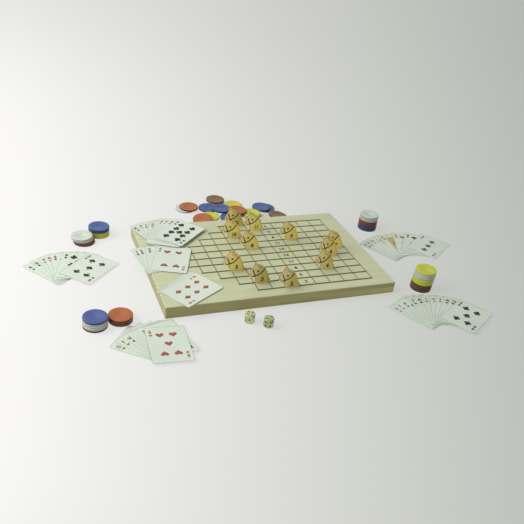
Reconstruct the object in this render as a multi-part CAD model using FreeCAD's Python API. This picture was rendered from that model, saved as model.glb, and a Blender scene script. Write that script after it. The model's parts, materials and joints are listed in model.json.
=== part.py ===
import FreeCAD, Part
import math
import os

from FreeCAD import Rotation, Vector

# A horse race game set out for play: a grooved wooden board with eleven flat wooden
# horses, two dice, seven hands of playing cards and stacks of plastic chips.
# Millimetres. Origin: centre of the board's underside, on the surface that carries all.
# +X runs to the right along the board's front edge, +Y away from the players, +Z up.

# ---- board ----
board_length = 422.0
board_width = 277.0
board_height = 21.2
top_panel_thickness = 9.0
board_edge_radius = 1.8
rail_width = 20.0
rib_width = 14.0
rib_count = 2
bottom_panel_thickness = 3.2
rebate_width = 10.0
panel_clearance = 0.3

# ---- screws that hold the bottom panel ----
screw_length = 9.5
screw_shank_radius = 1.5
screw_head_radius = 2.9
screw_head_height = 1.7
screw_recess = 0.3
screw_hole_clearance = 0.1
screws_per_side = 3
cross_reach = 0.6      # share of the head's radius
cross_width = 0.8
cross_depth = 0.8

# ---- race lanes cut in the top ----
lane_count = 11
lane_pitch = 22.87
middle_lane_y = -2.6
lane_right_x = 174.0
home_space = 27.8
home_spaces = 4
number_column = 30.0
run_space = 26.1
run_spaces = [3, 4, 5, 6, 7, 7, 7, 6, 5, 4, 3]
groove_depth = 5.6
groove_side_clearance = 0.25
groove_overrun = 2.0
open_cut = 1.0         # how far a cutter stands out of the face that it opens

# ---- horses ----
horse_thickness = 3.4
horse_base = 25.4
horse_height = 40.0
horse_edge_radius = 0.35
tongue_chamfer = 1.4
mane_scallop_rise = 0.7

# ---- dice ----
die_size = 16.0
die_roundness = 0.69   # radius of the ball that rounds edges and corners, in die sizes
pip_radius = 1.6
pip_depth = 0.7
pip_spacing = 3.7

# ---- playing cards ----
card_width = 63.0
card_length = 88.0
card_thickness = 0.3
card_corner_radius = 3.2
card_gap = 0.08

# ---- chips ----
chip_radius = 19.5
chip_thickness = 3.6
chip_edge_chamfer = 0.5
chip_recess_radius = 14.6
chip_recess_depth = 0.35
lean_margin = 0.3      # degrees that a leaning chip stands off the one below

# ---- how near the front left stacks stand to the cards and to each other ----
card_clearance = 0.8
stack_clearance = 2.0
low_stack_direction = 115.5
tall_stack_direction = 191.0

# ---- values that follow from the sizes above ----
frame_height = board_height - top_panel_thickness
groove_width = horse_thickness + 2 * groove_side_clearance
card_step = card_thickness + card_gap
number_column_right = lane_right_x - home_spaces * home_space
number_column_left = number_column_right - number_column


def box(x0, x1, y0, y1, z0, z1):
    """Block between two corners."""
    return Part.makeBox(x1 - x0, y1 - y0, z1 - z0, Vector(x0, y0, z0))


def polar(angle, length):
    """Flat vector of the given length, turned from +X by the angle in degrees."""
    return Vector(length * math.cos(math.radians(angle)), length * math.sin(math.radians(angle)), 0)


def export(name, shape):
    shape.exportStep("parts/" + name + ".step")
    print(name, len(shape.Solids), "solids", round(shape.Volume), "mm3", shape.isValid())


# ---- lanes ----

def lane_y(lane):
    """Y of a lane's centre line; lane 0 is the front one."""
    return middle_lane_y + (lane - (lane_count - 1) / 2) * lane_pitch


def lane_left_x(lane):
    return number_column_left - run_spaces[lane] * run_space


def space_centre_x(space):
    """Centre of a space: 1, 2, ... run left from the number column, -1, -2, ... right."""
    if space > 0:
        return number_column_left - (space - 0.5) * run_space
    return number_column_right + (-space - 0.5) * home_space


def groove(lane):
    """Round-ended slot along one lane, reaching through the top."""
    radius = groove_width / 2
    left = lane_left_x(lane) - groove_overrun
    right = lane_right_x + groove_overrun
    y = lane_y(lane)
    floor = board_height - groove_depth
    slot = box(left + radius, right - radius, y - radius, y + radius, floor,
               board_height + open_cut)
    for x in (left + radius, right - radius):
        slot = slot.fuse(Part.makeCylinder(radius, groove_depth + open_cut, Vector(x, y, floor)))
    return slot.removeSplitter()


# ---- board ----

half_length = board_length / 2
half_width = board_width / 2


def rounded_blank(z0, z1):
    """The board's outline with its four upright corners rounded."""
    blank = box(-half_length, half_length, -half_width, half_width, z0, z1)
    upright = [e for e in blank.Edges if abs(e.tangentAt(e.FirstParameter).z) > 0.99]
    return blank.makeFillet(board_edge_radius, upright)


def top_panel():
    panel = rounded_blank(frame_height, board_height)
    rim = [e for e in panel.Edges if e.BoundBox.ZMin > board_height - 0.01]
    panel = panel.makeFillet(board_edge_radius * 0.9, rim)
    for lane in range(lane_count):
        panel = panel.cut(groove(lane))
    return panel


def panel_bay(margin):
    """Recess in the underside of the frame that the bottom panel lies in."""
    inset = rail_width - rebate_width - margin
    return box(-half_length + inset, half_length - inset, -half_width + inset, half_width - inset,
               0, bottom_panel_thickness)


def screw_places():
    """Places of the screws, in the middle of the rebate all round."""
    inset = rail_width - rebate_width / 2
    x_side = half_length - inset
    y_side = half_width - inset
    places = []
    for i in range(screws_per_side):
        share = (i + 0.5) / screws_per_side * 2 - 1
        for side in (-1, 1):
            places.append(Vector(share * half_length, side * y_side, 0))
    for side in (-1, 1):
        places.append(Vector(side * x_side, 0, 0))
    return places


def screw_body(clearance):
    """Countersunk screw pointing up; with a clearance it is the hole for it."""
    top = screw_recess + screw_head_height
    head = Part.makeCone(screw_head_radius, screw_shank_radius, screw_head_height,
                         Vector(0, 0, screw_recess))
    shank = Part.makeCylinder(screw_shank_radius + clearance, screw_length - top + clearance,
                              Vector(0, 0, top))
    return head.fuse(shank)


def screw_hole():
    mouth = Part.makeCylinder(screw_head_radius, screw_recess)
    return screw_body(screw_hole_clearance).fuse(mouth)


def screw():
    reach = screw_head_radius * cross_reach
    cross = box(-reach, reach, -cross_width / 2, cross_width / 2, 0, screw_recess + cross_depth)
    turned = cross.copy()
    turned.rotate(Vector(), Vector(0, 0, 1), 90)
    return screw_body(0).cut(cross).cut(turned)


def at_places(shape, places):
    copies = []
    for place in places:
        copy = shape.copy()
        copy.translate(place)
        copies.append(copy)
    return Part.makeCompound(copies)


def rails():
    """The four sides of the frame, rebated for the bottom panel."""
    outline = rounded_blank(0, frame_height)
    inner_x = half_length - rail_width
    inner_y = half_width - rail_width
    blanks = {
        "front_rail": box(-half_length, half_length, -half_width, -inner_y, 0, frame_height),
        "back_rail": box(-half_length, half_length, inner_y, half_width, 0, frame_height),
        "left_rail": box(-half_length, -inner_x, -inner_y, inner_y, 0, frame_height),
        "right_rail": box(inner_x, half_length, -inner_y, inner_y, 0, frame_height),
    }
    holes = at_places(screw_hole(), screw_places())
    bay = panel_bay(panel_clearance)
    return {name: blank.common(outline).cut(bay).cut(holes) for name, blank in blanks.items()}


def ribs():
    """Cross pieces between the front and back rails, under the top panel."""
    inner_y = half_width - rail_width
    bars = []
    for i in range(rib_count):
        x = ((i + 1) / (rib_count + 1) - 0.5) * board_length
        bars.append(box(x - rib_width / 2, x + rib_width / 2, -inner_y, inner_y,
                        bottom_panel_thickness, frame_height))
    return Part.makeCompound(bars)


def bottom_panel():
    return panel_bay(0).cut(at_places(screw_hole(), screw_places()))


# ---- horses ----

# Profile of the head from the chest round the muzzle to the ear, then the ends of the
# mane's scallops, as shares of the base's length and of the height above the board.
profile_face = [(0.0, 0.0), (-0.031, 0.10), (-0.051, 0.20), (-0.087, 0.285), (-0.18, 0.315),
                (-0.34, 0.31), (-0.488, 0.33), (-0.555, 0.41), (-0.52, 0.515), (-0.417, 0.64),
                (-0.323, 0.76), (-0.252, 0.875)]
profile_ear_tip = (-0.15, 1.0)
profile_mane = [(0.0, 0.93), (0.283, 0.842), (0.512, 0.738), (0.669, 0.598), (0.787, 0.44),
                (0.898, 0.27), (1.0, 0.08)]


def horse_profile():
    """Closed outline in X and Z from the base's front corner, z = 0 on the board's top."""
    def point(share):
        return Vector(share[0] * horse_base, 0, share[1] * horse_height)

    face = Part.BSplineCurve()
    face.interpolate([point(share) for share in profile_face])
    ear_tip = point(profile_ear_tip)
    mane = [point(share) for share in profile_mane]
    edges = [face.toShape()]
    edges.append(Part.makeLine(point(profile_face[-1]), ear_tip))
    edges.append(Part.makeLine(ear_tip, mane[0]))
    for start, end in zip(mane, mane[1:]):
        chord = end - start
        lift = Vector(-chord.z, 0, chord.x).normalize() * mane_scallop_rise
        edges.append(Part.Arc(start, (start + end) / 2 + lift, end).toShape())

    foot = -groove_depth
    base = [mane[-1], Vector(horse_base, 0, foot + tongue_chamfer),
            Vector(horse_base - tongue_chamfer, 0, foot), Vector(tongue_chamfer, 0, foot),
            Vector(0, 0, foot + tongue_chamfer), point(profile_face[0])]
    for a, b in zip(base, base[1:]):
        edges.append(Part.makeLine(a, b))
    return Part.Wire(Part.__sortEdges__(edges))


def horse_blank():
    """One flat cut-out horse centred on its base. The edges of its face and ears are
    softened, and the teeth of its mane are left crisp."""
    face = Part.Face(horse_profile())
    body = face.extrude(Vector(0, horse_thickness, 0))
    body.translate(Vector(-horse_base / 2, -horse_thickness / 2, 0))
    soft = []
    for edge in body.Edges:
        outline = edge.BoundBox.YLength < 0.01 and edge.BoundBox.ZMin > -tongue_chamfer
        mane = isinstance(edge.Curve, Part.Circle)
        if outline and not mane:
            soft.append(edge)
    return body.makeFillet(horse_edge_radius, soft)


# Space that each horse stands on, counted as in space_centre_x, from the front lane, and
# how far right of the middle of its space it stands.
horse_spaces = [1, 3, -2, 4, -3, -4, 2, -1, 3, 1, 2]
horse_shifts = [-4.2, 2.2, 0.7, -2.6, 2.2, -3.8, -1.5, 5.2, 5.2, 5.9, -0.5]
first_horse_number = 2


def horse_x(lane):
    return space_centre_x(horse_spaces[lane]) + horse_shifts[lane]


def horses():
    body = horse_blank()
    made = {}
    for lane in range(lane_count):
        horse = body.copy()
        horse.translate(Vector(horse_x(lane), lane_y(lane), board_height))
        made["horse_%d" % (lane + first_horse_number)] = horse
    return made


# ---- dice ----

pip_layouts = {
    1: [(0, 0)],
    2: [(-1, -1), (1, 1)],
    3: [(-1, -1), (0, 0), (1, 1)],
    4: [(-1, -1), (-1, 1), (1, -1), (1, 1)],
    5: [(-1, -1), (-1, 1), (0, 0), (1, -1), (1, 1)],
    6: [(-1, -1), (-1, 0), (-1, 1), (1, -1), (1, 0), (1, 1)],
}


def die(centre, turned):
    """Cube cut to a ball, with its pips. Before it is turned, 1 faces -Y, 2 faces -X and 3
    faces +Z."""
    half = die_size / 2
    body = box(-half, half, -half, half, -half, half)
    body.Placement = FreeCAD.Placement(centre, turned)
    body = body.common(Part.makeSphere(die_size * die_roundness, centre))
    pip_ball = (pip_radius ** 2 + pip_depth ** 2) / (2 * pip_depth)
    faces = {
        1: (Vector(0, -1, 0), Vector(1, 0, 0)),
        6: (Vector(0, 1, 0), Vector(1, 0, 0)),
        2: (Vector(-1, 0, 0), Vector(0, 1, 0)),
        5: (Vector(1, 0, 0), Vector(0, 1, 0)),
        3: (Vector(0, 0, 1), Vector(1, 0, 0)),
        4: (Vector(0, 0, -1), Vector(1, 0, 0)),
    }
    for value, (normal, along) in faces.items():
        other = normal.cross(along)
        for a, b in pip_layouts[value]:
            pip = normal * (half + pip_ball - pip_depth) + (along * a + other * b) * pip_spacing
            body = body.cut(Part.makeSphere(pip_ball, centre + turned.multVec(pip)))
    return body


# name: (centre x, distance of the centre from the board's front edge, turn about the
# vertical, and the roll before it that sets which faces show)
dice_places = {
    "die_left": (-79.4, 33.4, -27.0, Rotation(Vector(0, 1, 0), 180)),
    "die_right": (-53.1, 50.8, -30.0, Rotation(Vector(-1, 1, 1), 120)),
}


def dice():
    made = {}
    for name, (x, distance, turn, roll) in dice_places.items():
        centre = Vector(x, -half_width - distance, die_size / 2)
        made[name] = die(centre, Rotation(Vector(0, 0, 1), turn).multiply(roll))
    return made


# ---- playing cards ----

def card():
    """Card lying flat along +X, with the middle of its bottom edge at the origin."""
    blank = box(0, card_length, -card_width / 2, card_width / 2, 0, card_thickness)
    upright = [e for e in blank.Edges if abs(e.tangentAt(e.FirstParameter).z) > 0.99]
    return blank.makeFillet(card_corner_radius, upright)


class Sweep:
    """Cards laid from left to right, each on the one before.

    first and last are (x, y, axis) of the outer cards: the middle of the card's bottom
    edge, in card lengths from the hand's anchor, and the direction of its long axis in
    degrees. shares tells how far between the two each card lies, from 0 to 1.
    """

    def __init__(self, first, last, shares):
        self.poses = [[a + (b - a) * share for a, b in zip(first, last)] for share in shares]


class Fan:
    """Hand of cards spread on a surface, made of one or more sweeps.

    anchor is a point of what the hand lies on or beside, at the surface's height. settle
    is how far the far end of the topmost card comes down, as a share of its height.
    """

    def __init__(self, anchor, sweeps, settle=0.0):
        self.anchor = anchor
        self.poses = [pose for sweep in sweeps for pose in sweep.poses]
        self.settle = settle

    def bottom_middle(self, pose):
        return self.anchor + Vector(pose[0], pose[1], 0) * card_length

    def right_corner(self, pose):
        """Centre of the rounded corner at a card's top right."""
        along = polar(pose[2], card_length - card_corner_radius)
        across = polar(pose[2] - 90, card_width / 2 - card_corner_radius)
        return self.bottom_middle(pose) + along + across

    def solids(self):
        """The cards from the lowest to the highest. Every card leans a little to its right,
        and each turn to the right lowers its far end, so that it is tilted nearly as the
        one below it. A card is lifted by what its tilt would sink it into the one below."""
        first_axis = self.poses[0][2]
        highest = card_step * (len(self.poses) - 1)
        lean = self.settle * highest / (card_length * math.radians(first_axis - self.poses[-1][2]))
        made = []
        height = 0.0
        for pose in self.poses:
            axis = pose[2]
            drop = lean * math.radians(first_axis - axis)
            along = polar(axis, 1)
            left = polar(axis + 90, 1)
            place = self.bottom_middle(pose)
            slope = left * lean - along * drop
            if made:
                change = slope - slope_below
                sunk = abs(change.dot(left)) * card_width / 2 + max(0, -change.dot(along)) * card_length
                height += card_step + slope_below.dot(place - place_below) + sunk
            tilt = Rotation(Vector(0, 1, 0), math.degrees(drop))
            tilt = tilt.multiply(Rotation(Vector(1, 0, 0), math.degrees(lean)))
            turn = Rotation(Vector(0, 0, 1), axis)
            body = card()
            body.Placement = FreeCAD.Placement(place + Vector(0, 0, height), turn.multiply(tilt))
            made.append(body)
            place_below = place
            slope_below = slope
        lowest = min(body.BoundBox.ZMin for body in made)
        for body in made:
            body.translate(Vector(0, 0, self.anchor.z - lowest))
        return made


left_middle = Vector(-half_length, middle_lane_y, 0)
right_middle = Vector(half_length, middle_lane_y, 0)
front_left = Vector(-half_length, -half_width, 0)
front_right = Vector(half_length, -half_width, 0)
on_board = left_middle + Vector(0, 0, board_height)

middle_hand = Fan(on_board, [
    Sweep((0.300, -0.319, 99.5), (0.3375, -0.382, 69.4), [0.0, 0.219, 0.566, 1.0])])
on_middle_hand = on_board + Vector(0, 0, len(middle_hand.poses) * card_step)
front_left_top = (-0.156, -1.275, 86.4)

hands = {
    "cards_far_left": Fan(left_middle, [
        Sweep((-1.420, 0.097, 127.2), (-1.415, 0.024, 45.1),
              [0.0, 0.152, 0.288, 0.382, 0.481, 0.655, 1.0])], 0.6),
    "cards_front_left": Fan(front_left, [
        Sweep((-0.108, -0.960, 142.0), (0.011, -1.123, 104.1),
              [0.0, 0.28, 0.54, 0.72, 0.80, 0.87, 0.94, 1.0]),
        Sweep(front_left_top, front_left_top, [0.0])], 0.2),
    "cards_far_right": Fan(right_middle, [
        Sweep((1.020, -0.277, 117.8), (1.466, -0.240, 36.2),
              [0.0, 0.077, 0.166, 0.252, 0.378, 0.596, 0.78, 1.0])], 0.6),
    "cards_front_right": Fan(front_right, [
        Sweep((0.400, -1.200, 119.8), (0.610, -1.392, 32.2),
              [0.0, 0.102, 0.21, 0.365, 0.463, 0.552, 0.658, 0.744, 0.834, 0.915, 1.0])], 0.6),
    "cards_board_back": Fan(on_middle_hand, [
        Sweep((0.640, 0.738, 111.0), (0.447, 0.627, 64.3), [0.0, 0.294, 0.508, 0.78, 1.0]),
        Sweep((0.474, 0.763, 58.8), (0.569, 0.739, 43.2), [0.0, 0.308, 0.615, 1.0])]),
    "cards_board_middle": middle_hand,
    "cards_board_front": Fan(on_board, [
        Sweep((0.161, -1.280, 37.0), (0.202, -1.3375, 32.3), [0.0, 0.3, 0.6, 1.0])]),
}


# ---- chips ----

def chip():
    """Chip lying on z = 0, its face and back sunk inside a plain rim."""
    body = Part.makeCylinder(chip_radius, chip_thickness)
    rims = [e for e in body.Edges if len(e.Vertexes) == 1 and e.BoundBox.XMax > chip_radius - 0.01]
    body = body.makeChamfer(chip_edge_chamfer, [e for e in rims if e.BoundBox.DiagonalLength > 1
                                                and e.BoundBox.ZLength < 0.01])
    for z in (0, chip_thickness - chip_recess_depth):
        body = body.cut(Part.makeCylinder(chip_recess_radius, chip_recess_depth, Vector(0, 0, z)))
    return body


def chip_stack(place, runs, shifts=(0.0, 0.0)):
    """Stack from the surface up. runs is a list of (colour, how many); shifts moves each
    chip a little further than the one below it. Returns colour: list of chips."""
    made = {}
    step = Vector(shifts[0], shifts[1], chip_thickness)
    level = 0
    for colour, count in runs:
        for _ in range(count):
            body = chip()
            body.translate(place + step * level)
            made.setdefault(colour, []).append(body)
            level += 1
    return made


def leaning_chip(carrier, low_direction, distance):
    """Chip that leans on a flat one: carrier is the flat chip's centre, and the leaning
    chip's centre lies at the distance from it, towards the side that is down."""
    body = chip()
    body.translate(Vector(0, 0, -chip_thickness / 2))
    lean = math.degrees(math.asin(chip_thickness / distance)) + lean_margin
    body.rotate(Vector(), Vector(0, 0, 1).cross(polar(low_direction, 1)), lean)
    place = carrier + polar(low_direction, distance)
    body.translate(place - Vector(0, 0, body.BoundBox.ZMin))
    return body


# Flat chips behind the board: colour, x and y in chip radii from the middle of the
# board's back edge, and level in the pile.
strewn_flat = {
    "pile": [
        ("white", -4.05, 4.93, 0), ("red", -3.63, 4.87, 1),
        ("white", -0.22, 6.26, 0), ("red", -0.24, 6.28, 1),
        ("blue", -1.55, 4.73, 0), ("blue", -0.23, 4.05, 1), ("blue", 0.13, 2.23, 0),
        ("yellow", -1.86, 2.73, 0), ("yellow", 1.48, 5.06, 0),
        ("white", 2.49, 2.72, 0), ("yellow", 2.70, 2.53, 1), ("red", 1.23, 3.08, 2)],
    "pile_right": [
        ("white", 4.07, 1.45, 0), ("blue", 4.88, 3.89, 0), ("blue", 4.30, 3.82, 1)],
}
# Chips that lean on a flat one: colour, x and y of the chip below as above, direction of
# the side that is down, distance between the two centres in chip radii.
strewn_leaning = {
    "pile": [("red", -1.86, 2.73, 212.0, 1.27)],
    "pile_right": [("red", 4.07, 1.45, 15.0, 1.49)],
}


def behind_board(x, y):
    """Place given in chip radii from the middle of the board's back edge."""
    return Vector(x * chip_radius, half_width + y * chip_radius, 0)


def strewn_chips(group):
    made = {}
    for colour, x, y, level in strewn_flat[group]:
        body = chip()
        body.translate(behind_board(x, y) + Vector(0, 0, level * chip_thickness))
        made.setdefault(colour, []).append(body)
    for colour, x, y, low_direction, distance in strewn_leaning[group]:
        body = leaning_chip(behind_board(x, y), low_direction, distance * chip_radius)
        made.setdefault(colour, []).append(body)
    return made


# Stacks beside the board: each is given from a corner of the board, in chip radii, and
# the two at the front left from the nearest card.
back_left = Vector(-half_length, half_width, 0)
back_right = Vector(half_length, half_width, 0)
front_left_hand = hands["cards_front_left"]
beside_card = front_left_hand.right_corner(front_left_hand.poses[0]) + polar(
    low_stack_direction, card_corner_radius + card_clearance + chip_radius)
beside_stack = beside_card + polar(tall_stack_direction, 2 * chip_radius + stack_clearance)

chip_groups = {
    "far_left_low": chip_stack(back_left + Vector(-4.54, -0.54, 0) * chip_radius,
                               [("red", 2), ("white", 2)], (-1.5, 0.3)),
    "far_left_tall": chip_stack(back_left + Vector(-2.97, 0.77, 0) * chip_radius,
                                [("yellow", 3), ("blue", 2)]),
    "front_left_tall": chip_stack(beside_stack, [("red", 1), ("white", 3), ("blue", 1)]),
    "front_left_low": chip_stack(beside_card, [("red", 3)]),
    "far_right": chip_stack(back_right + Vector(3.74, -1.95, 0) * chip_radius,
                            [("blue", 3), ("red", 3), ("white", 3)]),
    "front_right": chip_stack(front_right + Vector(3.10, 0.24, 0) * chip_radius,
                              [("red", 4), ("yellow", 3), ("white", 3), ("yellow", 1)],
                              (0.3, 0.0)),
    "pile": strewn_chips("pile"),
    "pile_right": strewn_chips("pile_right"),
}


# ---- write one file per node ----

def main():
    os.makedirs("parts", exist_ok=True)
    export("top_panel", top_panel())
    for name, rail in rails().items():
        export(name, rail)
    export("cross_ribs", ribs())
    export("bottom_panel", bottom_panel())
    export("bottom_screws", at_places(screw(), screw_places()))
    for name, horse in horses().items():
        export(name, horse)
    for name, body in dice().items():
        export(name, body)
    for name, fan in hands.items():
        export(name, Part.makeCompound(fan.solids()))
    for group, colours in chip_groups.items():
        for colour, bodies in colours.items():
            export("chips_%s_%s" % (group, colour), Part.makeCompound(bodies))


main()
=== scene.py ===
"""Looks of a wooden horse race game set out for play.

The board, horses, dice, cards and chips come from the CAD frame. This script dresses them,
prints the board, cards and horses, models the moulded chips, and sets the table, light and
camera. Lengths are in metres, colours are written as 0 to 255 triples.
"""

import json
import logging
import math
from dataclasses import dataclass, field
from enum import Enum
from typing import Optional

import bpy
import numpy as np
from mathutils import Matrix, Vector


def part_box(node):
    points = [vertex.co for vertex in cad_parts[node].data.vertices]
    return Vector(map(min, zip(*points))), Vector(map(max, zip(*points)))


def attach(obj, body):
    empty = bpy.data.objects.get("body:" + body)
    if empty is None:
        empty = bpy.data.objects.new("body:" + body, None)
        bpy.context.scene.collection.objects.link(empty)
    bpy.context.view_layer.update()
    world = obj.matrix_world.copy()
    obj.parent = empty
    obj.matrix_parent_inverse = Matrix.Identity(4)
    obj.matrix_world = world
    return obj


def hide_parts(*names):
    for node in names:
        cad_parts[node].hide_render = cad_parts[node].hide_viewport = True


log = logging.getLogger("horse_race")
logging.basicConfig(level=logging.INFO, format="%(message)s")

MM = 0.001
FILM = 0.03 * MM  # how far printing and burnt marks stand off their surface

Pair = tuple[float, float]
Triple = tuple[float, float, float]
Faces = list[tuple[int, ...]]  # the numbers of each face's points
Patch = tuple[np.ndarray, Faces]  # flat points (u, v) in rows, and the faces on them

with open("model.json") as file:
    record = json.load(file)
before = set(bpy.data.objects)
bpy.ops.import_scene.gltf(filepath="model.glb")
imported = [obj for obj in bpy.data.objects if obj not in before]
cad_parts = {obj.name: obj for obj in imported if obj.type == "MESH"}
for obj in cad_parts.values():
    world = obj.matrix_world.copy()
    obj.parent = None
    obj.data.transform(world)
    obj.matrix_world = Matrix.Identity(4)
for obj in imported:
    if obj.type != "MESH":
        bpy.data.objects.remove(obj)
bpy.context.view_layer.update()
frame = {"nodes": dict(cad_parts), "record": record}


# --------------------------------------------------------------------------- colours


def linear(rgb: Triple, strength: float = 1.0) -> tuple[float, float, float, float]:
    """A display colour as linear light, by the sRGB curve.

    A share up to 0.04045 is divided by 12.92; a larger one has 0.055 added, is divided by
    1.055 and is raised to the power 2.4.

    Args:
        rgb: red, green and blue from 0 to 255.
        strength: factor on the display value, 1 leaves it.

    Returns:
        Linear red, green, blue and an alpha of 1.
    """
    share = np.clip(np.array(rgb, float) / 255 * strength, 0, 1)
    light = np.where(share <= 0.04045, share / 12.92, ((share + 0.055) / 1.055) ** 2.4)
    return (float(light[0]), float(light[1]), float(light[2]), 1.0)


class Ink(Enum):
    """Printing inks and burnt marks, named by what they print, and a colour of painted shade for the
    cards' edges.
    """

    BLACK = (28, 30, 27)
    RED = (144, 73, 62)
    OCHRE = (178, 160, 70)
    SKY = (88, 120, 165)
    LINE = (120, 124, 84)
    BURNT = (62, 40, 10)
    # Not an ink: painted shade along the cards' edges.
    EDGE = (146, 154, 141)


Inks = dict[Ink, bpy.types.Material]


# --------------------------------------------------------------------------- shader maths


class Value:
    """A socket that can be used in arithmetic; each operation adds a Math node."""

    def __init__(self, bench: "Bench", socket: object) -> None:
        """Keeps the bench that makes nodes, and the socket or number."""
        self.bench = bench
        self.socket = socket

    def _math(self, operation: str, *others: object) -> "Value":
        """Adds one Math node.

        Args:
            operation: what the node does.
            others: the values or numbers that follow this value.

        Returns:
            The node's result.
        """
        inputs = dict(enumerate((self, *others)))
        made = self.bench.node("ShaderNodeMath", {"operation": operation}, inputs)
        return Value(self.bench, made.outputs[0])

    def __add__(self, other: object) -> "Value":
        """Sum."""
        return self._math("ADD", other)

    def __radd__(self, other: object) -> "Value":
        """Sum, reflected."""
        return self._math("ADD", other)

    def __sub__(self, other: object) -> "Value":
        """Difference."""
        return self._math("SUBTRACT", other)

    def __rsub__(self, other: object) -> "Value":
        """Difference, reflected."""
        return Value(self.bench, other)._math("SUBTRACT", self)

    def __mul__(self, other: object) -> "Value":
        """Product."""
        return self._math("MULTIPLY", other)

    def __rmul__(self, other: object) -> "Value":
        """Product, reflected."""
        return self._math("MULTIPLY", other)

    def __truediv__(self, other: object) -> "Value":
        """Quotient."""
        return self._math("DIVIDE", other)

    def __rtruediv__(self, other: object) -> "Value":
        """Quotient, reflected."""
        return Value(self.bench, other)._math("DIVIDE", self)

    def absolute(self) -> "Value":
        """Size without sign."""
        return self._math("ABSOLUTE")

    def sine(self) -> "Value":
        """Sine of an angle in radians."""
        return self._math("SINE")

    def larger(self, other: object) -> "Value":
        """The larger of the two."""
        return self._math("MAXIMUM", other)

    def smaller(self, other: object) -> "Value":
        """The smaller of the two."""
        return self._math("MINIMUM", other)

    def below(self, other: object) -> "Value":
        """1 where this value is smaller, otherwise 0."""
        return self._math("LESS_THAN", other)

    def ramp(self, low: float, high: float) -> "Value":
        """Rises evenly with this value and stays within 0 and 1.

        Args:
            low: where the result is 0.
            high: where it is 1.

        Returns:
            The share of the way from low to high.
        """
        span = {"Value": self, "From Min": low, "From Max": high, "To Min": 0.0, "To Max": 1.0}
        made = self.bench.node("ShaderNodeMapRange", {"clamp": True}, span)
        return Value(self.bench, made.outputs["Result"])


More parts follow.
